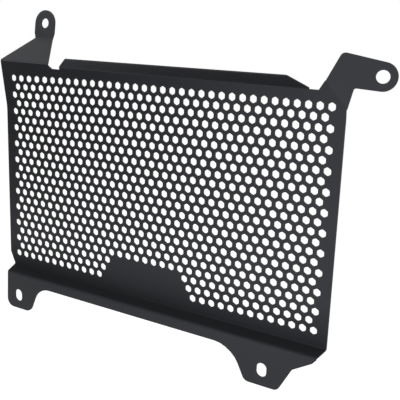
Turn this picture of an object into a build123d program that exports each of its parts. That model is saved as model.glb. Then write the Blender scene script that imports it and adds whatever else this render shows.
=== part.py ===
# Motorcycle radiator guard: one black steel sheet, cut, pierced and folded.
# Millimetres. X runs to the right as seen from the road side, Y back to the radiator, Z up.
# The origin is the centre of the upper left bolt hole, on the back face of its tab.
# Places on the panel are measured from the middle of the grille's top row.
import math
import os

from build123d import *

os.makedirs("parts", exist_ok=True)

# The sheet and its folds
sheet = 1.2
bend_inner = 1.2
bend_outer = bend_inner + sheet

# The flat panel, flared at the upper left, with its right edge leaning out a little towards the foot
panel_width = 291.0
panel_drop = 162.6
panel_rise = 9.7
flare_width = 6.1
flare_height = 36.75
corner_height = 10.0
fold_left_inset = 4.6
edge_lean = 0.9

# The grille: pointed-top hexagons, with every other row set over by half a pitch
# The real sheet has 35 columns and 23 rows of 5.25 mm hexagons over the same field
hexagon_flats = 7.68
grille_pitch = 11.71
grille_side_margin = 6.3
grille_foot_margin = 10.4

# The blank patch in the grille's bottom rows, wider towards its foot
blank_height = 28.6
blank_width = 57.6
blank_middle = -5.2
blank_slope = 0.58

# The top lip, folded forward and a little deeper at its right end, and the relief notch beside it
lip_rise = 9.14
lip_width = 207.2
lip_middle = 15.0
lip_angle = 45.0
lip_depth = 9.0
lip_gain = 1.1
lip_left_slant = 11.0
lip_right_slant = 13.0
lip_left_round = 1.5
lip_right_round = 3.0
notch_width = 7.9
notch_depth = 1.14

# The upper left ear: a gusset folded back, then a tab folded up again
gusset_rise = 10.75
gusset_angle = 45.0
gusset_depth = 25.36
gusset_reach = 20.6
gusset_tip_width = 18.6
tab_middle = -121.4
tab_width = 20.8
tab_angle = 38.0
tab_neck = 3.6
tab_hole_rise = 11.6
tab_hole = 7.8

# The upper right ear, folded back along a slanting line, placed from the panel's right edge
ear_angle = 20.0
ear_root_in = 20.3
ear_fold_upper_in = 16.5
ear_fold_upper_rise = 15.8
ear_fold_lower_in = 2.1
ear_fold_lower_rise = 0.2
ear_shoulder = 7.0
ear_tip_in = 8.2
ear_tip_rise = 34.7
ear_tip_round = 3.5
ear_hole_out = 18.1
ear_hole_rise = 21.35
ear_bolt_hole = 8.6
ear_end_radius = 9.2
ear_neck_out = 1.8
ear_neck_rise = 12.8
ear_neck_round = 1.5

# The lower flange, set forward by a sloping web with a fold on each side of it
web_angle = 66.0
web_flat = 7.5
web_end_cut = 3.5
flange_depth = 6.45
flange_fall = 0.6
flange_end_width = 2.6
flange_end_depth = 3.2

# Its feet, each with an upright slot
foot_depth = 24.2
foot_lean = 1.2
foot_half_width = 12.85
right_foot_fall = 0.45
left_heel_reach = 13.6
foot_round = 7.0
foot_small_round = 5.0
left_slot_inset = 16.8
slot_spacing = 232.35
slot_rise = 12.1
slot_width = 7.8
slot_length = 10.7
left_root_reach = 9.6
left_root_round = 16.0
right_root_reach = 12.2
right_root_round = 22.0
right_knee_reach = 9.8
right_knee_rise = 19.15
right_knee_round = 3.0

# Places that follow from the sizes
panel_left, panel_right = -panel_width / 2, panel_width / 2
fold_left, fold_right = panel_left + fold_left_inset, panel_right + edge_lean
lip_left, lip_right = lip_middle - lip_width / 2, lip_middle + lip_width / 2
gusset_left, gusset_right = panel_left - flare_width, tab_middle + gusset_reach
tip_left, tip_right = tab_middle - gusset_tip_width / 2, tab_middle + gusset_tip_width / 2
tab_left, tab_right = tab_middle - tab_width / 2, tab_middle + tab_width / 2
ear_fold_upper = (panel_right - ear_fold_upper_in, ear_fold_upper_rise)
ear_fold_lower = (panel_right - ear_fold_lower_in, ear_fold_lower_rise)
ear_tip = (panel_right - ear_tip_in, ear_tip_rise)
ear_hole = (panel_right + ear_hole_out, ear_hole_rise)
ear_neck = (panel_right + ear_neck_out, ear_neck_rise)
web_turn = math.radians(web_angle)
web_bends = bend_inner + bend_outer
web_drop = web_bends * math.sin(web_turn) + web_flat * math.cos(web_turn)
flange_forward = web_bends * (1 - math.cos(web_turn)) + web_flat * math.sin(web_turn)
flange_top = -panel_drop - web_drop
flange_bottom = flange_top - flange_depth
foot_bottom = flange_bottom - foot_depth
right_foot_bottom = foot_bottom - right_foot_fall
left_slot = (panel_left + left_slot_inset, foot_bottom + slot_rise)
right_slot = (left_slot[0] + slot_spacing, right_foot_bottom + slot_rise)
left_toe = (fold_left - foot_lean, foot_bottom)
left_heel = (left_slot[0] + left_heel_reach, foot_bottom)
left_root = (left_heel[0] + left_root_reach, flange_bottom)
right_toe = (right_slot[0] - foot_half_width, right_foot_bottom)
right_root = (right_toe[0] - right_root_reach, flange_bottom - flange_fall)
right_heel = (right_slot[0] + foot_half_width, right_foot_bottom)
right_knee = (right_heel[0] + right_knee_reach, right_foot_bottom + right_knee_rise)


def folded(face, height, angle, forward):
    # The sheet's front face past a fold that starts at a height on the face before it
    start = face.from_local_coords((0, height, 0))
    normal = face.z_dir.rotate(Axis((0, 0, 0), face.x_dir), angle if forward else -angle)
    radius = bend_inner if forward else -bend_outer
    return Plane(start + (face.z_dir - normal) * radius, face.x_dir, normal)


def add_fold(face, height, angle, forward, left, right):
    # The curved strip of a fold, from its left end to its right end
    edge = Plane(face.from_local_coords((0, height, 0)), face.x_dir, face.y_dir)
    with BuildSketch(edge) as strip:
        with Locations(((left + right) / 2, sheet / 2)):
            Rectangle(right - left, sheet)
    middle = edge.from_local_coords((0, -bend_inner if forward else bend_outer, 0))
    axis = Axis(middle, face.x_dir * (1 if forward else -1))
    revolve(strip.sketch, axis=axis, revolution_arc=angle)


def round_corner(outline, corner, radius):
    # Rounds the corner of an outline that is nearest to a point
    fillet(outline.vertices().sort_by_distance((corner[0], corner[1], 0))[0], radius)


def touch(corner, centre, radius, side):
    # Where a straight edge from a corner touches a round end, on its left or right as seen from the corner
    run = Vector(*centre) - Vector(*corner)
    turn = side * math.degrees(math.asin(radius / run.length))
    reach = math.sqrt(run.length**2 - radius**2)
    point = Vector(*corner) + run.normalized().rotate(Axis.Z, turn) * reach
    return (point.X, point.Y)


def hexagon_centres():
    # Every hole of the grille, leaving out the blank patch
    centres = []
    row_step = grille_pitch * math.sqrt(3) / 2
    columns = int((panel_width - 2 * grille_side_margin - hexagon_flats) / grille_pitch) + 1
    rows = int((panel_drop - grille_foot_margin) / row_step) + 1
    blank_top = blank_height - panel_drop
    for row in range(rows):
        height = -row * row_step
        half_blank = blank_width / 2 + blank_slope * (blank_top - height)
        count = columns - row % 2
        for column in range(count):
            across = (column - (count - 1) / 2) * grille_pitch
            if height > blank_top or abs(across - blank_middle) > half_blank:
                centres.append((across, height))
    return centres


def upper_left_hole(face):
    # The centre of the tab's bolt hole on the sheet's back, for a panel in a given place
    gusset = folded(face, gusset_rise, gusset_angle, False)
    tab = folded(gusset, gusset_depth, tab_angle, True)
    return tab.from_local_coords((tab_middle, tab_hole_rise, -sheet))


# The sheet's front faces, each past its fold
panel_at_zero = Plane((0, 0, 0), (1, 0, 0), (0, -1, 0))
panel_face = Plane(upper_left_hole(panel_at_zero) * -1, (1, 0, 0), (0, -1, 0))
lip_face = folded(panel_face, lip_rise, lip_angle, True)
gusset_face = folded(panel_face, gusset_rise, gusset_angle, False)
tab_face = folded(gusset_face, gusset_depth, tab_angle, True)
flange_face = panel_face.offset(flange_forward)

# Downward faces run the other way across, so their left and right change places
panel_down = Plane(panel_face.origin, (-1, 0, 0), (0, -1, 0))
web_face = folded(panel_down, panel_drop, web_angle, True)
web_corner = Plane(panel_face.from_local_coords((fold_right, -panel_drop, 0)))

# The slanting fold of the upper right ear, in the panel
ear_run = Vector(ear_fold_lower[0] - ear_fold_upper[0], 0, ear_fold_lower[1] - ear_fold_upper[1])
ear_half_run = ear_run.length / 2
ear_fold_middle = (Vector(*ear_fold_upper) + Vector(*ear_fold_lower)) / 2
ear_panel = Plane(panel_face.from_local_coords(ear_fold_middle), ear_run.normalized(), (0, -1, 0))
ear_setback = bend_outer * math.tan(math.radians(ear_angle / 2))
ear_face = folded(ear_panel, -ear_setback, ear_angle, False)


def on_ear(point):
    # A point of the flat blank, on the ear past its fold
    place = ear_panel.to_local_coords(panel_face.from_local_coords(Vector(*point)))
    return (place.X, place.Y - ear_setback)


def before_ear_fold(across):
    # A place along the slanting fold, where the panel ends and the curve starts
    place = panel_face.to_local_coords(ear_panel.from_local_coords((across, -ear_setback, 0)))
    return (place.X, place.Y)


with BuildPart() as radiator_guard:
    # Lip with slanting ends
    add_fold(panel_face, lip_rise, lip_angle, True, lip_left, lip_right)
    with BuildSketch(lip_face) as lip:
        lip_corner_left = (lip_left + lip_left_slant, lip_depth)
        lip_corner_right = (lip_right - lip_right_slant, lip_depth + lip_gain)
        with BuildLine():
            Polyline((lip_left, 0), (lip_right, 0), lip_corner_right, lip_corner_left, close=True)
        make_face()
        round_corner(lip, lip_corner_left, lip_left_round)
        round_corner(lip, lip_corner_right, lip_right_round)
    extrude(amount=-sheet)

    # Gusset of the upper left ear
    add_fold(panel_face, gusset_rise, gusset_angle, False, gusset_left, gusset_right)
    with BuildSketch(gusset_face):
        with BuildLine():
            Polyline(
                (gusset_left, 0),
                (gusset_right, 0),
                (tip_right, gusset_depth),
                (tip_left, gusset_depth),
                close=True,
            )
        make_face()
    extrude(amount=-sheet)

    # Round-ended tab with its bolt hole
    add_fold(gusset_face, gusset_depth, tab_angle, True, tip_left, tip_right)
    with BuildSketch(tab_face):
        with BuildLine():
            Polyline(
                (tip_left, 0),
                (tip_right, 0),
                (tab_right, tab_neck),
                (tab_right, tab_hole_rise),
                (tab_left, tab_hole_rise),
                (tab_left, tab_neck),
                close=True,
            )
        make_face()
        with Locations((tab_middle, tab_hole_rise)):
            Circle(tab_width / 2)
            Circle(tab_hole / 2, mode=Mode.SUBTRACT)
    extrude(amount=-sheet)

    # Upper right ear with its bolt hole
    add_fold(ear_panel, -ear_setback, ear_angle, False, -ear_half_run, ear_half_run)
    with BuildSketch(ear_face) as ear:
        with BuildLine():
            Polyline(
                (-ear_half_run, 0),
                on_ear(ear_tip),
                on_ear(touch(ear_tip, ear_hole, ear_end_radius, 1)),
                on_ear(touch(ear_neck, ear_hole, ear_end_radius, -1)),
                on_ear(ear_neck),
                (ear_half_run, 0),
                close=True,
            )
        make_face()
        round_corner(ear, on_ear(ear_tip), ear_tip_round)
        round_corner(ear, on_ear(ear_neck), ear_neck_round)
        with Locations(on_ear(ear_hole)):
            Circle(ear_end_radius)
            Circle(ear_bolt_hole / 2, mode=Mode.SUBTRACT)
    extrude(amount=-sheet)

    # Sloping web between the two lower folds
    add_fold(panel_down, panel_drop, web_angle, True, -fold_right, -fold_left)
    add_fold(web_face, web_flat, web_angle, False, -fold_right, -fold_left)
    with BuildSketch(web_face):
        with Locations((-(fold_left + fold_right) / 2, web_flat / 2)):
            Rectangle(fold_right - fold_left, web_flat)
    extrude(amount=-sheet)

    # Slanting right end of the web, drawn in towards the flange
    with BuildSketch(web_corner):
        with BuildLine():
            Polyline((0, 0), (-web_end_cut, -flange_forward), (0, -flange_forward), close=True)
        make_face()
    extrude(amount=-web_drop, mode=Mode.SUBTRACT)

    # Lower flange with two slotted feet
    with BuildSketch(flange_face) as flange:
        flange_end = fold_right - web_end_cut
        with BuildLine():
            Polyline(
                (fold_left, flange_top),
                left_toe,
                left_heel,
                left_root,
                right_root,
                right_toe,
                right_heel,
                right_knee,
                (flange_end - flange_end_width, flange_top - flange_end_depth),
                (flange_end, flange_top),
                close=True,
            )
        make_face()
        round_corner(flange, left_toe, foot_round)
        round_corner(flange, left_heel, foot_round)
        round_corner(flange, left_root, left_root_round)
        round_corner(flange, right_root, right_root_round)
        round_corner(flange, right_toe, foot_small_round)
        round_corner(flange, right_heel, foot_small_round)
        round_corner(flange, right_knee, right_knee_round)
        with Locations(left_slot, right_slot):
            SlotOverall(slot_length, slot_width, rotation=90, mode=Mode.SUBTRACT)
    extrude(amount=-sheet)

    # Flat panel with its grille
    with BuildSketch(panel_face) as panel:
        with BuildLine():
            Polyline(
                (fold_left, -panel_drop),
                (panel_left, corner_height - panel_drop),
                (panel_left, gusset_rise - flare_height),
                (gusset_left, gusset_rise),
                (gusset_right, gusset_rise),
                (lip_left - notch_width, lip_rise - notch_depth),
                (lip_left, lip_rise - notch_depth),
                (lip_left, lip_rise),
                (lip_right, lip_rise),
                (lip_right, panel_rise),
                (panel_right - ear_root_in, panel_rise),
                before_ear_fold(-ear_half_run),
                before_ear_fold(ear_half_run),
                (panel_right - edge_lean, -ear_shoulder),
                (fold_right, -panel_drop),
                close=True,
            )
        make_face()
        with Locations(*hexagon_centres()):
            RegularPolygon(hexagon_flats / 2, 6, False, rotation=30, mode=Mode.SUBTRACT)
    extrude(amount=-sheet)

radiator_guard.part.label = "radiator_guard"
export_step(radiator_guard.part, "parts/radiator_guard.step")
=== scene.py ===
# Motorcycle radiator guard: one folded, pierced steel sheet with a satin black powder coat
import math

import bmesh
import bpy
from mathutils import Matrix, Vector


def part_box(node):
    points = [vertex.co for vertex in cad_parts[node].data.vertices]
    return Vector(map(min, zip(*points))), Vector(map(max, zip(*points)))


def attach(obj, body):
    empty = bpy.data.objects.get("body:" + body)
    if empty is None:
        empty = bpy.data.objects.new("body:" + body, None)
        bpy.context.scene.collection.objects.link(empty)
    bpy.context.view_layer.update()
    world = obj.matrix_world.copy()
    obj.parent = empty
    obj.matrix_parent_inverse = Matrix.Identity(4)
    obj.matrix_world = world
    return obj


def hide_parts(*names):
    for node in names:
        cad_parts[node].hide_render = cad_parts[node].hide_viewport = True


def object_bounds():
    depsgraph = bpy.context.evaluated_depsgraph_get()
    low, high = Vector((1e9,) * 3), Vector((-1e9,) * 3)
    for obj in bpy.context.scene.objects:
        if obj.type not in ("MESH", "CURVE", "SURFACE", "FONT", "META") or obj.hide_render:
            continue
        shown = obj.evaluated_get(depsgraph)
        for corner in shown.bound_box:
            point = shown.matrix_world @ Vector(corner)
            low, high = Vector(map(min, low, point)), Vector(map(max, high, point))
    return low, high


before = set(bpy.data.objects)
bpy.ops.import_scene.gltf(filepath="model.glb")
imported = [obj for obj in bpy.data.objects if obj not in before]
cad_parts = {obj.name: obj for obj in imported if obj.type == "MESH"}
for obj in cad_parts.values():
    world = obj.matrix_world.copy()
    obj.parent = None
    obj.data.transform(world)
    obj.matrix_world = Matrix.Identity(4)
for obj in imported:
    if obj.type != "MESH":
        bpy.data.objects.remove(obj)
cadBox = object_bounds()
mm = 0.001
weld = 0.01 * mm  # points nearer than this are one point
print("frame loaded")


# The sheet, in millimetres and degrees

sheetSizes = {
    "thickness": 1.2,
    "insideRadius": 1.2,
    "edgeRound": 0.16,
    "edgeAngle": 35.0,  # edges sharper than this are softened
    "smoothAngle": 50.0,  # edges sharper than this stay crisp
    "foldStep": 6.0,  # of a fold, for each strip
    "roundStep": 12.0,  # of a rounded corner, for each edge
    "leastSteps": 4,  # in any fold or rounded corner
    "endSteps": 24,  # round the end of an ear
    "slotSteps": 18,  # round the end of a slot
    "holePoints": 36,  # round a bolt hole
}
thickness = sheetSizes["thickness"]
insideRadius = sheetSizes["insideRadius"]
outsideRadius = insideRadius + thickness
roundStep = math.radians(sheetSizes["roundStep"])


# Working by hand

def objectMode():
    if bpy.context.object and bpy.context.object.mode != "OBJECT":
        bpy.ops.object.mode_set(mode="OBJECT")
    bpy.ops.object.select_all(action="DESELECT")


def pickOnly(piece):
    objectMode()
    piece.select_set(True)
    bpy.context.view_layer.objects.active = piece


def selectNone(kind):
    # ready to pick points, edges or faces
    bpy.ops.mesh.select_mode(type=kind)
    bpy.ops.mesh.select_all(action="DESELECT")


def editOnly(piece):
    pickOnly(piece)
    bpy.ops.object.mode_set(mode="EDIT")
    selectNone("VERT")


def selectNear(piece, place):
    # the one point of the mesh nearest to a place
    mesh = bmesh.from_edit_mesh(piece.data)
    nearest = min(mesh.verts, key=lambda point: (point.co - place).length)
    nearest.select = True
    mesh.select_flush_mode()
    bmesh.update_edit_mesh(piece.data)


def startPoint(x, y):
    # a plane drawn together into one point, ready to be extruded along an outline
    objectMode()
    bpy.ops.mesh.primitive_plane_add(size=mm)
    bpy.ops.object.mode_set(mode="EDIT")
    bpy.ops.mesh.select_mode(type="VERT")
    bpy.ops.mesh.select_all(action="SELECT")
    bpy.ops.mesh.merge(type="CENTER")
    bpy.ops.transform.translate(value=(x * mm, y * mm, 0))
    return bpy.context.object


def runAlong(stops):
    for before, after in zip(stops, stops[1:]):
        step = ((after[0] - before[0]) * mm, (after[1] - before[1]) * mm, 0)
        bpy.ops.mesh.extrude_vertices_move(TRANSFORM_OT_translate={"value": step})


def turnAbout(centre, degrees, steps):
    # spin turns clockwise for a positive angle
    middle = (centre[0] * mm, centre[1] * mm, 0)
    bpy.ops.mesh.spin(steps=steps, angle=-math.radians(degrees), center=middle, axis=(0, 0, 1))


def closeLoop():
    bpy.ops.mesh.select_all(action="SELECT")
    bpy.ops.mesh.remove_doubles(threshold=weld)


def roundCorner(piece, before, corner, after):
    x, y, radius = corner
    here = Vector((x, y))
    back = (Vector(before[:2]) - here).normalized()
    ahead = (Vector(after[:2]) - here).normalized()
    halfAngle = back.angle(ahead) / 2
    bpy.ops.mesh.select_all(action="DESELECT")
    selectNear(piece, Vector((x * mm, y * mm, 0)))
    bpy.ops.mesh.bevel(
        offset=radius * mm / math.tan(halfAngle),
        segments=max(sheetSizes["leastSteps"], round((math.pi - 2 * halfAngle) / roundStep)),
        affect="VERTICES",
    )


def tracePath(corners):
    # corners are x, y and a rounding radius; the loop closes on its first corner
    piece = startPoint(*corners[0][:2])
    runAlong(corners + corners[:1])
    closeLoop()
    for before, corner, after in zip(corners[-1:] + corners, corners, corners[1:] + corners[:1]):
        if corner[2]:
            roundCorner(piece, before, corner, after)
    return piece


def circleLoop(x, y, radius):
    objectMode()
    bpy.ops.mesh.primitive_circle_add(
        vertices=sheetSizes["holePoints"], radius=radius * mm, location=(x * mm, y * mm, 0)
    )
    bpy.ops.object.transform_apply()
    return bpy.context.object


def joinAll(pieces):
    objectMode()
    for piece in pieces:
        piece.select_set(True)
    bpy.context.view_layer.objects.active = pieces[0]
    bpy.ops.object.join()
    return pieces[0]


def fillFlat(loops):
    # the flat sheet between an outline and the holes in it
    piece = joinAll(loops)
    editOnly(piece)
    bpy.ops.mesh.select_all(action="SELECT")
    bpy.ops.mesh.fill(use_beauty=True)
    return piece


def layOn(piece, face):
    # carries a flat drawing to its plane
    pickOnly(piece)
    piece.matrix_world = face
    bpy.ops.object.transform_apply()
    return piece


def applyModifier(piece, kind, **settings):
    pickOnly(piece)
    modifier = piece.modifiers.new(kind.lower(), kind)
    for name, value in settings.items():
        setattr(modifier, name, value)
    bpy.ops.object.modifier_apply(modifier=modifier.name)


def facePlace(origin, across, normal):
    place = Matrix((across, normal.cross(across), normal)).transposed().to_4x4()
    place.translation = origin
    return place


def fold(face, height, degrees, forward, left, right):
    # the curved strip of a fold that starts at a height on a face, and the sheet's face past it
    turn = math.radians(degrees if forward else -degrees)
    axisOut = insideRadius if forward else -outsideRadius
    strip = startPoint(left, height)
    runAlong([(left, height), (right, height)])
    bpy.ops.mesh.select_all(action="SELECT")
    bpy.ops.mesh.spin(
        steps=max(sheetSizes["leastSteps"], round(degrees / sheetSizes["foldStep"])),
        angle=-turn,
        center=(0, height * mm, axisOut * mm),
        axis=(1, 0, 0),
    )
    across, normal = face.col[0].xyz, face.col[2].xyz
    past = Matrix.Rotation(turn, 3, across) @ normal
    origin = face @ Vector((0, height * mm, 0)) + (normal - past) * axisOut * mm
    return layOn(strip, face), facePlace(origin, across, past)


# Sizes of the flat panel and of what is folded from its edges, in millimetres and degrees
# On the panel x runs from its middle, and y up from the top row of holes

panelSizes = {
    "width": 291.0,
    "drop": 162.6,  # from the top row of holes to the lower fold
    "rise": 9.7,
    "flareWidth": 6.1,
    "flareHeight": 36.75,
    "flareRound": 40.0,
    "cornerHeight": 10.0,
    "foldLeftInset": 4.6,
    "edgeLean": 0.9,  # of the right edge, in at its top and out at the lower fold
    "pitch": 8.0,
    "flats": 5.25,
    "holeCornerCut": 0.45,
    "longRow": 35,
    "rows": 23,
    "patchRows": {20: (-32, 24), 21: (-36, 28), 22: (-40, 32)},  # by row, the first and last hole left out
    "cornerPulls": (
        {"side": -1, "move": (0.3, -1.4), "reach": 120},  # the flared corner draws the holes with it
        {"side": -1, "move": (-1.8, -0.6), "reach": 45},
        {"side": 1, "move": (-1.2, -0.2), "reach": 60},
    ),
}
lipSizes = {
    "rise": 9.14,
    "width": 207.2,
    "middle": 15.0,
    "angle": 45.0,
    "depth": 9.0,
    "gain": 1.1,  # deeper by this much at the right end
    "leftSlant": 11.0,
    "rightSlant": 13.0,
    "leftRound": 1.5,
    "rightRound": 3.0,
    "notchWidth": 7.9,
    "notchDepth": 1.14,
}
leftEarSizes = {
    "rise": 10.75,
    "backAngle": 45.0,
    "gussetDepth": 25.36,
    "gussetReach": 20.6,
    "tipWidth": 18.6,
    "tabMiddle": -121.4,
    "tabWidth": 20.8,
    "upAngle": 38.0,
    "neck": 3.6,
    "holeRise": 11.6,
    "hole": 7.8,
}
rightEarSizes = {
    "angle": 20.0,
    "rootIn": 20.3,
    "foldUpper": (16.5, 15.8),  # in from the panel's right edge, and up
    "foldLower": (0.9, -1.1),
    "shoulder": 7.0,
    "tip": (8.2, 34.7),
    "tipRound": 3.5,
    "holeOut": 18.1,
    "holeRise": 21.35,
    "hole": 8.6,
    "endRadius": 9.2,
    "neckOut": 1.8,
    "neckRise": 12.8,
    "neckRound": 1.5,
}
flangeSizes = {
    "webAngle": 66.0,
    "webFlat": 7.5,
    "webEndCut": 3.5,
    "depth": 6.45,
    "fall": 0.6,
    "endWidth": 2.6,
    "endDepth": 3.2,
    "footDepth": 24.2,
    "footLean": 1.2,
    "footHalfWidth": 12.85,
    "rightFootFall": 0.45,
    "leftHeelReach": 13.6,
    "footRound": 7.0,
    "footSmallRound": 5.0,
    "leftSlotInset": 16.8,
    "slotSpacing": 232.35,
    "slotRise": 12.1,
    "slotWidth": 7.8,
    "slotLength": 10.7,
    "leftRootReach": 9.6,
    "leftRootRound": 16.0,
    "rightRootReach": 12.2,
    "rightRootRound": 22.0,
    "rightKneeReach": 9.8,
    "rightKneeRise": 19.15,
    "rightKneeRound": 3.0,
}

panelLeft, panelRight = -panelSizes["width"] / 2, panelSizes["width"] / 2
drop = panelSizes["drop"]
foldLeft, foldRight = panelLeft + panelSizes["foldLeftInset"], panelRight + panelSizes["edgeLean"]
lipLeft = lipSizes["middle"] - lipSizes["width"] / 2
lipRight = lipSizes["middle"] + lipSizes["width"] / 2
gussetLeft = panelLeft - panelSizes["flareWidth"]
gussetRight = leftEarSizes["tabMiddle"] + leftEarSizes["gussetReach"]
tipLeft = leftEarSizes["tabMiddle"] - leftEarSizes["tipWidth"] / 2
tipRight = leftEarSizes["tabMiddle"] + leftEarSizes["tipWidth"] / 2
webAngle, webFlat = flangeSizes["webAngle"], flangeSizes["webFlat"]
webTurn, webBends = math.radians(webAngle), insideRadius + outsideRadius
flangeForward = webBends * (1 - math.cos(webTurn)) + webFlat * math.sin(webTurn)
flangeTop = -drop - webBends * math.sin(webTurn) - webFlat * math.cos(webTurn)
flangeBottom = flangeTop - flangeSizes["depth"]
footBottom = flangeBottom - flangeSizes["footDepth"]
rightFootBottom = footBottom - flangeSizes["rightFootFall"]

# The CAD box's low corner lies at the flared corner's left, the flange's front and the right foot's end
lowCorner = Vector(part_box("radiator_guard")[0])
gridMiddle = lowCorner + Vector((-gussetLeft, flangeForward, -rightFootBottom)) * mm
toRight, toFront = Vector((1, 0, 0)), Vector((0, -1, 0))
panelFace = facePlace(gridMiddle, toRight, toFront)
downFace = facePlace(gridMiddle, Vector((-1, 0, 0)), toFront)
flangeFace = facePlace(gridMiddle + Vector((0, -flangeForward * mm, 0)), toRight, toFront)

# The slanting fold of the right ear, in the panel
foldUpper = Vector((panelRight - rightEarSizes["foldUpper"][0], rightEarSizes["foldUpper"][1]))
foldLower = Vector((panelRight - rightEarSizes["foldLower"][0], rightEarSizes["foldLower"][1]))
earRun = foldLower - foldUpper
earHalfRun = earRun.length / 2
earMiddle = (foldUpper + foldLower) / 2
earSetback = outsideRadius * math.tan(math.radians(rightEarSizes["angle"] / 2))
earAlong = earRun.normalized()
earOut = Vector((-earAlong.y, earAlong.x))
earPanel = facePlace(
    panelFace @ Vector((earMiddle.x * mm, earMiddle.y * mm, 0)),
    Vector((earAlong.x, 0, earAlong.y)),
    toFront,
)


def beforeEarFold(along):
    place = earMiddle + earAlong * along - earOut * earSetback
    return (place.x, place.y, 0)


def onEar(point):
    # a point of the flat blank, on the ear past its fold
    reach = Vector(point) - earMiddle
    return (reach.dot(earAlong), reach.dot(earOut) - earSetback)


# Panel and grille: every cell is one plain hexagon, set out in rows by arrays

cellSides = 6
holeSides = 2 * cellSides  # a hole's corners are cut
pitch = panelSizes["pitch"]
rowStep = pitch * math.sqrt(3) / 2
rowHalf = (panelSizes["longRow"] - 1) / 2 * pitch


def repeatCell(piece, count, step):
    applyModifier(
        piece,
        "ARRAY",
        count=count,
        constant_offset_displace=step,
        use_relative_offset=False,
        use_constant_offset=True,
        use_merge_vertices=True,
        merge_threshold=weld,
    )


def cellRows(count, rows, firstRow):
    objectMode()
    bpy.ops.mesh.primitive_circle_add(
        vertices=cellSides,
        radius=pitch / math.sqrt(3) * mm,
        fill_type="NGON",
        location=(-(count - 1) / 2 * pitch * mm, -firstRow * rowStep * mm, 0),
    )
    piece = bpy.context.object
    bpy.ops.object.transform_apply()
    repeatCell(piece, count, (pitch * mm, 0, 0))
    repeatCell(piece, rows, (0, -2 * rowStep * mm, 0))
    return piece


def selectPatch(piece):
    # the cells of the bare patch, by their row and their place across
    selectNone("FACE")
    mesh = bmesh.from_edit_mesh(piece.data)
    for face in mesh.faces:
        centre = face.calc_center_median() / mm
        ends = panelSizes["patchRows"].get(round(-centre.y / rowStep))
        face.select = bool(ends) and ends[0] - pitch / 2 < centre.x < ends[1] + pitch / 2
    bmesh.update_edit_mesh(piece.data)


def selectSides(sides):
    selectNone("FACE")
    bpy.ops.mesh.select_face_by_sides(number=sides, type="EQUAL")


longRows = cellRows(panelSizes["longRow"], (panelSizes["rows"] + 1) // 2, 0)
shortRows = cellRows(panelSizes["longRow"] - 1, panelSizes["rows"] // 2, 1)
panel = joinAll([longRows, shortRows])
editOnly(panel)
closeLoop()
selectPatch(panel)
bpy.ops.mesh.delete(type="FACE")
for pull in panelSizes["cornerPulls"]:
    selectNone("VERT")
    selectNear(panel, Vector((pull["side"] * rowHalf * mm, 0, 0)))
    bpy.ops.transform.translate(
        value=(pull["move"][0] * mm, pull["move"][1] * mm, 0),
        use_proportional_edit=True,
        proportional_edit_falloff="SMOOTH",
        proportional_size=pull["reach"] * mm,
    )
print("grille set out")

panelOutline = tracePath([
    (foldLeft, -drop, 0),
    (panelLeft, panelSizes["cornerHeight"] - drop, 0),
    (panelLeft, leftEarSizes["rise"] - panelSizes["flareHeight"], panelSizes["flareRound"]),
    (gussetLeft, leftEarSizes["rise"], 0),
    (gussetRight, leftEarSizes["rise"], 0),
    (lipLeft - lipSizes["notchWidth"], lipSizes["rise"] - lipSizes["notchDepth"], 0),
    (lipLeft, lipSizes["rise"] - lipSizes["notchDepth"], 0),
    (lipLeft, lipSizes["rise"], 0),
    (lipRight, lipSizes["rise"], 0),
    (lipRight, panelSizes["rise"], 0),
    (panelRight - rightEarSizes["rootIn"], panelSizes["rise"], 0),
    beforeEarFold(-earHalfRun),
    beforeEarFold(earHalfRun),
    (panelRight - panelSizes["edgeLean"], -rightEarSizes["shoulder"], 0),
    (foldRight, -drop, 0),
])
panel = joinAll([panel, panelOutline])
editOnly(panel)
bpy.ops.mesh.select_mode(type="EDGE")
bpy.ops.mesh.select_non_manifold(extend=False)
bpy.ops.mesh.fill(use_beauty=True)
selectSides(cellSides)
bpy.ops.mesh.inset(thickness=(pitch - panelSizes["flats"]) / 2 * mm, use_individual=True)
bpy.ops.mesh.bevel(offset=panelSizes["holeCornerCut"] * mm, segments=1, affect="VERTICES")
selectSides(holeSides)
holeCount = sum(face.select for face in bmesh.from_edit_mesh(panel.data).faces)
bpy.ops.mesh.delete(type="FACE")
layOn(panel, panelFace)
print("panel pierced with", holeCount, "hexagons")


# Lip along the top, folded forward

lipFold, lipFace = fold(panelFace, lipSizes["rise"], lipSizes["angle"], True, lipLeft, lipRight)
lip = tracePath([
    (lipLeft, 0, 0),
    (lipRight, 0, 0),
    (lipRight - lipSizes["rightSlant"], lipSizes["depth"] + lipSizes["gain"], lipSizes["rightRound"]),
    (lipLeft + lipSizes["leftSlant"], lipSizes["depth"], lipSizes["leftRound"]),
])
layOn(fillFlat([lip]), lipFace)


# Left ear: a gusset folded back, then a round-ended tab folded up again

gussetFold, gussetFace = fold(
    panelFace, leftEarSizes["rise"], leftEarSizes["backAngle"], False, gussetLeft, gussetRight
)
gusset = tracePath([
    (gussetLeft, 0, 0),
    (gussetRight, 0, 0),
    (tipRight, leftEarSizes["gussetDepth"], 0),
    (tipLeft, leftEarSizes["gussetDepth"], 0),
])
layOn(fillFlat([gusset]), gussetFace)
tabFold, tabFace = fold(
    gussetFace, leftEarSizes["gussetDepth"], leftEarSizes["upAngle"], True, tipLeft, tipRight
)


def traceTab():
    middle, rise, neck = leftEarSizes["tabMiddle"], leftEarSizes["holeRise"], leftEarSizes["neck"]
    half = leftEarSizes["tabWidth"] / 2
    left, right = middle - half, middle + half
    piece = startPoint(tipLeft, 0)
    runAlong([(tipLeft, 0), (tipRight, 0), (right, neck), (right, rise)])
    turnAbout((middle, rise), 180, sheetSizes["endSteps"])
    runAlong([(left, rise), (left, neck), (tipLeft, 0)])
    closeLoop()
    return fillFlat([piece, circleLoop(middle, rise, leftEarSizes["hole"] / 2)])


tab = layOn(traceTab(), tabFace)
print("lip and left ear folded")


# Right ear, folded back along a slanting line

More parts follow.
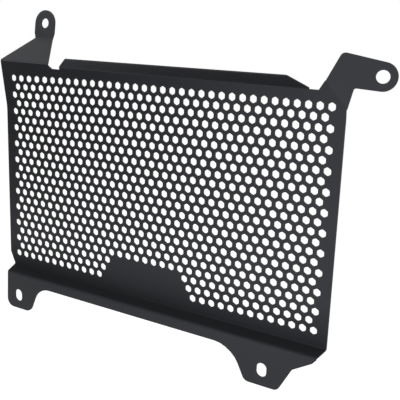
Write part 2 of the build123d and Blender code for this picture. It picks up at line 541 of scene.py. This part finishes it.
earFold, earFace = fold(earPanel, -earSetback, rightEarSizes["angle"], False, -earHalfRun, earHalfRun)


def touchPoint(corner, centre, radius, side):
    # where a straight edge from a corner touches a round end
    run = Vector(centre) - Vector(corner)
    turn = side * math.asin(radius / run.length)
    reach = math.sqrt(run.length**2 - radius**2)
    return Vector(corner) + Matrix.Rotation(turn, 2) @ run.normalized() * reach


def roundEarEnd(piece, fromPoint, toPoint, centre):
    # the straight edge between the two touching points gives way to a round end
    editOnly(piece)
    bpy.ops.mesh.select_mode(type="EDGE")
    mesh = bmesh.from_edit_mesh(piece.data)
    ends = [Vector((*point, 0)) * mm for point in (fromPoint, toPoint)]
    for edge in mesh.edges:
        edge.select = all(min((point.co - end).length for end in ends) < weld for point in edge.verts)
    bmesh.update_edit_mesh(piece.data)
    bpy.ops.mesh.delete(type="EDGE")
    selectNear(piece, ends[0])
    first, last = fromPoint - Vector(centre), toPoint - Vector(centre)
    sweep = math.degrees(math.atan2(last.y, last.x) - math.atan2(first.y, first.x))
    sweep -= 360 * math.ceil(sweep / 360)  # the way round the outside runs clockwise
    turnAbout(centre, sweep, sheetSizes["endSteps"])
    closeLoop()


def traceEar():
    hole = (panelRight + rightEarSizes["holeOut"], rightEarSizes["holeRise"])
    tip = (panelRight - rightEarSizes["tip"][0], rightEarSizes["tip"][1])
    neck = (panelRight + rightEarSizes["neckOut"], rightEarSizes["neckRise"])
    upper = Vector(onEar(touchPoint(tip, hole, rightEarSizes["endRadius"], 1)))
    lower = Vector(onEar(touchPoint(neck, hole, rightEarSizes["endRadius"], -1)))
    centre = onEar(hole)
    piece = tracePath([
        (-earHalfRun, 0, 0),
        (*onEar(tip), rightEarSizes["tipRound"]),
        (*upper, 0),
        (*lower, 0),
        (*onEar(neck), rightEarSizes["neckRound"]),
        (earHalfRun, 0, 0),
    ])
    roundEarEnd(piece, upper, lower, centre)
    return fillFlat([piece, circleLoop(*centre, rightEarSizes["hole"] / 2)])


ear = layOn(traceEar(), earFace)
print("right ear folded")


# Sloping web and lower flange

webFold, webFace = fold(downFace, drop, webAngle, True, -foldRight, -foldLeft)
webEdge = fold(webFace, webFlat, webAngle, False, -foldRight, -foldLeft)[0]
webMiddle = tracePath([
    (-foldRight, 0, 0),
    (-foldLeft, 0, 0),
    (-foldLeft, webFlat, 0),
    (-foldRight, webFlat, 0),
])
layOn(fillFlat([webMiddle]), webFace)
web = joinAll([webFold, webMiddle, webEdge])
editOnly(web)
closeLoop()
bpy.ops.mesh.bisect(
    plane_co=panelFace @ Vector((foldRight * mm, 0, 0)),
    plane_no=(1, -flangeSizes["webEndCut"] / flangeForward, 0),
    clear_outer=True,
)


def slotLoop(x, y):
    half = flangeSizes["slotWidth"] / 2
    straight = (flangeSizes["slotLength"] - flangeSizes["slotWidth"]) / 2
    left, right, low, high = x - half, x + half, y - straight, y + straight
    piece = startPoint(right, low)
    runAlong([(right, low), (right, high)])
    turnAbout((x, high), 180, sheetSizes["slotSteps"])
    runAlong([(left, high), (left, low)])
    turnAbout((x, low), 180, sheetSizes["slotSteps"])
    closeLoop()
    return piece


leftSlot = panelLeft + flangeSizes["leftSlotInset"]
rightSlot = leftSlot + flangeSizes["slotSpacing"]
leftHeel = leftSlot + flangeSizes["leftHeelReach"]
rightToe = rightSlot - flangeSizes["footHalfWidth"]
rightHeel = rightSlot + flangeSizes["footHalfWidth"]
flangeEnd = foldRight - flangeSizes["webEndCut"]
flangeOutline = tracePath([
    (foldLeft, flangeTop, 0),
    (foldLeft - flangeSizes["footLean"], footBottom, flangeSizes["footRound"]),
    (leftHeel, footBottom, flangeSizes["footRound"]),
    (leftHeel + flangeSizes["leftRootReach"], flangeBottom, flangeSizes["leftRootRound"]),
    (
        rightToe - flangeSizes["rightRootReach"],
        flangeBottom - flangeSizes["fall"],
        flangeSizes["rightRootRound"],
    ),
    (rightToe, rightFootBottom, flangeSizes["footSmallRound"]),
    (rightHeel, rightFootBottom, flangeSizes["footSmallRound"]),
    (
        rightHeel + flangeSizes["rightKneeReach"],
        rightFootBottom + flangeSizes["rightKneeRise"],
        flangeSizes["rightKneeRound"],
    ),
    (flangeEnd - flangeSizes["endWidth"], flangeTop - flangeSizes["endDepth"], 0),
    (flangeEnd, flangeTop, 0),
])
flange = fillFlat([
    flangeOutline,
    slotLoop(leftSlot, footBottom + flangeSizes["slotRise"]),
    slotLoop(rightSlot, rightFootBottom + flangeSizes["slotRise"]),
])
layOn(flange, flangeFace)
print("web and flange folded")


# One sheet: welded, given its thickness and its softened edges

guardSheet = joinAll([panel, lipFold, lip, gussetFold, gusset, tabFold, tab, earFold, ear, web, flange])
guardSheet.name = guardSheet.data.name = "guardSheet"
editOnly(guardSheet)
closeLoop()
bpy.ops.mesh.select_all(action="SELECT")
bpy.ops.mesh.normals_make_consistent(inside=False)
objectMode()
forwardArea = sum(-face.normal.y * face.area for face in guardSheet.data.polygons)
if forwardArea < 0:
    editOnly(guardSheet)
    bpy.ops.mesh.select_all(action="SELECT")
    bpy.ops.mesh.flip_normals()
applyModifier(guardSheet, "SOLIDIFY", thickness=thickness * mm, offset=-1, use_even_offset=True)
applyModifier(
    guardSheet,
    "BEVEL",
    width=sheetSizes["edgeRound"] * mm,
    segments=1,
    limit_method="ANGLE",
    angle_limit=math.radians(sheetSizes["edgeAngle"]),
    use_clamp_overlap=True,
)
pickOnly(guardSheet)
bpy.ops.object.shade_smooth_by_angle(angle=math.radians(sheetSizes["smoothAngle"]))
applyModifier(guardSheet, "WEIGHTED_NORMAL", mode="FACE_AREA", keep_sharp=True)
triangles = sum(len(face.vertices) - 2 for face in guardSheet.data.polygons)
print("sheet finished with", triangles, "triangles")


# The finish

class Wire:
    # a socket that joins others with Python's own operators
    def __init__(self, tree, socket=None):
        self.tree = tree
        self.socket = socket

    def node(self, kind, settings, inlets, outlet=0):
        made = self.tree.nodes.new(kind)
        for name, value in settings.items():
            setattr(made, name, value)
        for name, value in inlets.items():
            self.feed(made.inputs[name], value)
        return Wire(self.tree, made.outputs[outlet])

    def feed(self, inlet, value):
        if isinstance(value, Wire):
            self.tree.links.new(value.socket, inlet)
        else:
            inlet.default_value = value

    def math(self, operation, first, second):
        return self.node("ShaderNodeMath", {"operation": operation}, {0: first, 1: second})

    def __add__(self, other):
        return self.math("ADD", self, other)

    def __radd__(self, other):
        return self.math("ADD", other, self)

    def __sub__(self, other):
        return self.math("SUBTRACT", self, other)

    def __rsub__(self, other):
        return self.math("SUBTRACT", other, self)

    def __mul__(self, other):
        return self.math("MULTIPLY", self, other)

    def __rmul__(self, other):
        return self.math("MULTIPLY", other, self)


coatLook = {
    "deep": (0.0026, 0.0028, 0.0036, 1),
    "thin": (0.0038, 0.0041, 0.0051, 1),
    "index": 1.37,  # the fine texture breaks up part of the gloss
    "sheen": (0.88, 0.91, 1.0, 1),
    "roughness": 0.38,
    "roughnessSpread": 0.06,
    "cloud": {"Scale": 28.0, "Detail": 3.0},
    "peel": {"Scale": 900.0, "Detail": 1.0},  # about a millimetre from crest to crest
    "grain": {"Scale": 3200.0, "Detail": 0.0},
    "cloudInTone": 0.6,
    "peelInTone": 0.4,
    "peelInBump": 0.7,
    "grainInBump": 0.3,
    "bump": 0.22,
    "bumpHeight": 0.00004,
    "shadedCornerRoughness": 0.50,  # more than elsewhere, in the corner above the web, where the colour also carries painted shade
    # painted shade: a darker coat colour in the corner above the web, in place of the shade the web and
    # flange cast there
    "paintedShadeTone": (0.0008, 0.0009, 0.0011, 1),
    "shadeReach": 28.0,  # up from the fold
    "shadeFade": 2.2,  # out over the edge of the flange
    "shadeAtEnds": (1.0, 0.5),  # left and right
    "shadeFacing": (0, -0.9, 0.4),  # the front of the panel and the top of the web
    "shadeTurn": 0.2,  # faces turned this much towards it have the whole of it
}
noiseMiddle = 0.5


def newMaterial(name):
    material = bpy.data.materials.new(name)
    material.use_nodes = True
    tree = material.node_tree
    return material, tree.nodes["Principled BSDF"], Wire(tree)


def ramp(value, start, end, low=0.0, high=1.0):
    # even from low to high between two values, and level past them
    return value.node("ShaderNodeMapRange", {}, {0: value, 1: start, 2: end, 3: low, 4: high})


def blend(share, first, second):
    # a Mix node takes its colours at sockets 6 and 7 and gives one at 2
    return share.node("ShaderNodeMix", {"data_type": "RGBA"}, {0: share, 6: first, 7: second}, 2)


# Painted shade: a mask, strongest in the corner above the web, that darkens the coat's colour there and
# also makes it rougher
def roughShadedCorner(wire, place):
    across = wire.node("ShaderNodeSeparateXYZ", {}, {0: place}, "X")
    height = wire.node("ShaderNodeSeparateXYZ", {}, {0: place}, "Z")
    normal = wire.node("ShaderNodeTexCoord", {}, {}, "Normal")
    facing = wire.node(
        "ShaderNodeVectorMath",
        {"operation": "DOT_PRODUCT"},
        {0: normal, 1: coatLook["shadeFacing"]},
        "Value",
    )
    foldHeight, edgeHeight = gridMiddle.z - drop * mm, gridMiddle.z + flangeTop * mm
    leftEnd, rightEnd = gridMiddle.x + foldLeft * mm, gridMiddle.x + foldRight * mm
    above = ramp(height, foldHeight + coatLook["shadeReach"] * mm, foldHeight)
    below = ramp(height, edgeHeight, edgeHeight + coatLook["shadeFade"] * mm)
    along = ramp(across, leftEnd, rightEnd, *coatLook["shadeAtEnds"])
    return above * below * along * ramp(facing, 0.0, coatLook["shadeTurn"])


def powderCoat():
    material, shader, wire = newMaterial("satinBlackCoat")
    place = wire.node("ShaderNodeTexCoord", {}, {}, "Object")
    cloud, peel, grain = (
        wire.node("ShaderNodeTexNoise", {}, {"Vector": place, **coatLook[name]}, "Fac")
        for name in ("cloud", "peel", "grain")
    )
    shadedCorner = roughShadedCorner(wire, place)
    shade = cloud * coatLook["cloudInTone"] + peel * coatLook["peelInTone"]
    tone = blend(shade, coatLook["deep"], coatLook["thin"])
    roughness = coatLook["roughness"] + (cloud - noiseMiddle) * coatLook["roughnessSpread"]
    surface = peel * coatLook["peelInBump"] + grain * coatLook["grainInBump"]
    bump = wire.node(
        "ShaderNodeBump",
        {},
        {"Strength": coatLook["bump"], "Distance": coatLook["bumpHeight"], "Height": surface},
    )
    # the base colour is darkened with painted shade in the corner above the web
    wire.feed(shader.inputs["Base Color"], blend(shadedCorner, tone, coatLook["paintedShadeTone"]))
    wire.feed(shader.inputs["Roughness"], roughness + shadedCorner * coatLook["shadedCornerRoughness"])
    wire.feed(shader.inputs["Normal"], bump)
    shader.inputs["IOR"].default_value = coatLook["index"]
    shader.inputs["Specular Tint"].default_value = coatLook["sheen"]
    return material


guardSheet.data.materials.clear()
guardSheet.data.materials.append(powderCoat())
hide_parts("radiator_guard")
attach(guardSheet, "root")
print("coat on")


# Camera at the photograph's place

cameraSizes = {
    "eye": (274.67, -411.09, 44.38),  # from the middle of the top row of holes
    "round": 29.4102,
    "above": 14.2645,
    "roll": 2.5439,
    "lens": 60.908,
    "sensor": 36.0,
    "near": 10.0,
}


def photoCamera():
    camera = bpy.data.objects.new("photoCamera", bpy.data.cameras.new("photoCamera"))
    bpy.context.scene.collection.objects.link(camera)
    turn, lift, roll = (math.radians(cameraSizes[name]) for name in ("round", "above", "roll"))
    back = Vector((math.sin(turn) * math.cos(lift), -math.cos(turn) * math.cos(lift), math.sin(lift)))
    level = Vector((math.cos(turn), math.sin(turn), 0))
    across = math.cos(roll) * level + math.sin(roll) * back.cross(level)
    camera.matrix_world = facePlace(gridMiddle + Vector(cameraSizes["eye"]) * mm, across, back)
    camera.data.lens = cameraSizes["lens"]
    camera.data.sensor_width = cameraSizes["sensor"]
    camera.data.clip_start = cameraSizes["near"] * mm
    bpy.context.scene.camera = camera


photoCamera()
print("camera placed")


# Studio: a pale floor well below the guard, soft lamps and a white backdrop

studio = {
    # metres, with places from the middle of the guard
    "white": (1, 1, 1, 1),
    "skyLevel": 0.65,
    "mattRoughness": 0.9,
    "floorDrop": 0.75,
    "floorSize": 12.0,
    "floorColour": (0.80, 0.80, 0.80, 1),
    "floorLift": 0.48,  # added to what lights the floor, so that it is white and keeps its shadows
    "card": {"place": (-0.98, -0.86, -0.04), "size": (0.8, 0.54), "colour": (0.01, 0.01, 0.01, 1)},
    "lamps": {
        "front": {"place": (-0.30, -2.00, -0.10), "size": 1.2, "power": 4.8},
        "frontRight": {"place": (0.50, -1.80, 0.85), "size": 0.9, "power": 5.0},
        "frontLeft": {"place": (-1.30, -1.35, 0.85), "size": 0.7, "power": 5.2},
        "leftHigh": {"place": (-1.30, -0.10, 1.35), "size": 1.0, "power": 0.5},
        "lowFront": {"place": (-0.38, -1.33, -0.70), "size": 0.6, "power": 1.7},
        "overhead": {"place": (-0.35, -0.10, 1.60), "size": 0.8, "power": 0.9},
    },
}


def showsBackdrop(wire):
    # rays that meet the plain white: from the camera, or mirrored or let through on the way
    kinds = ("Is Camera Ray", "Is Glossy Ray", "Is Transmission Ray")
    camera, mirrored, through = (wire.node("ShaderNodeLightPath", {}, {}, kind) for kind in kinds)
    return wire.math("MAXIMUM", wire.math("MAXIMUM", camera, mirrored), through)


def mattMaterial(name, colour):
    material, shader, wire = newMaterial(name)
    shader.inputs["Base Color"].default_value = colour
    shader.inputs["Roughness"].default_value = studio["mattRoughness"]
    return material, shader, wire


def paleFloor(centre):
    objectMode()
    low = centre - Vector((0, 0, studio["floorDrop"]))
    bpy.ops.mesh.primitive_plane_add(size=studio["floorSize"], location=low)
    floor = bpy.context.object
    floor.name = "paleFloor"
    bpy.ops.object.transform_apply()
    material, shader, wire = mattMaterial("paleFloor", studio["floorColour"])
    matt = Wire(wire.tree, shader.outputs[0])
    lift = showsBackdrop(wire) * studio["floorLift"]
    glow = wire.node("ShaderNodeEmission", {}, {"Color": studio["white"], "Strength": lift})
    lifted = wire.node("ShaderNodeAddShader", {}, {0: matt, 1: glow})
    wire.feed(wire.tree.nodes["Material Output"].inputs["Surface"], lifted)
    floor.data.materials.append(material)


def darkCard(centre):
    # a black card beside the camera, out of its sight, deepens the left of the panel
    objectMode()
    place = Vector(studio["card"]["place"])
    bpy.ops.mesh.primitive_plane_add(
        size=1, location=centre + place, rotation=place.to_track_quat("Z", "Y").to_euler()
    )
    card = bpy.context.object
    card.name = "darkCard"
    card.scale = (*studio["card"]["size"], 1)
    bpy.ops.object.transform_apply(location=False)
    card.visible_camera = False
    card.data.materials.append(mattMaterial("darkCard", studio["card"]["colour"])[0])


def whiteSky():
    world = bpy.data.worlds.new("whiteSky")
    bpy.context.scene.world = world
    world.use_nodes = True
    backdrop = world.node_tree.nodes["Background"]
    wire = Wire(world.node_tree)
    strength = studio["skyLevel"] + showsBackdrop(wire) * (1 - studio["skyLevel"])
    wire.feed(backdrop.inputs["Color"], studio["white"])
    wire.feed(backdrop.inputs["Strength"], strength)


def softLamp(name, setting, target):
    lamp = bpy.data.lights.new(name, "AREA")
    lamp.shape = "DISK"
    lamp.size = setting["size"]
    lamp.energy = setting["power"]
    holder = bpy.data.objects.new(name, lamp)
    bpy.context.scene.collection.objects.link(holder)
    place = Vector(setting["place"])
    holder.location = target + place
    holder.rotation_euler = place.to_track_quat("Z", "Y").to_euler()


middle = (Vector(cadBox[0]) + Vector(cadBox[1])) / 2
paleFloor(middle)
darkCard(middle)
whiteSky()
for lampName, lampSetting in studio["lamps"].items():
    softLamp(lampName, lampSetting, middle)
bpy.context.scene.view_settings.view_transform = "Standard"
print("studio lit")
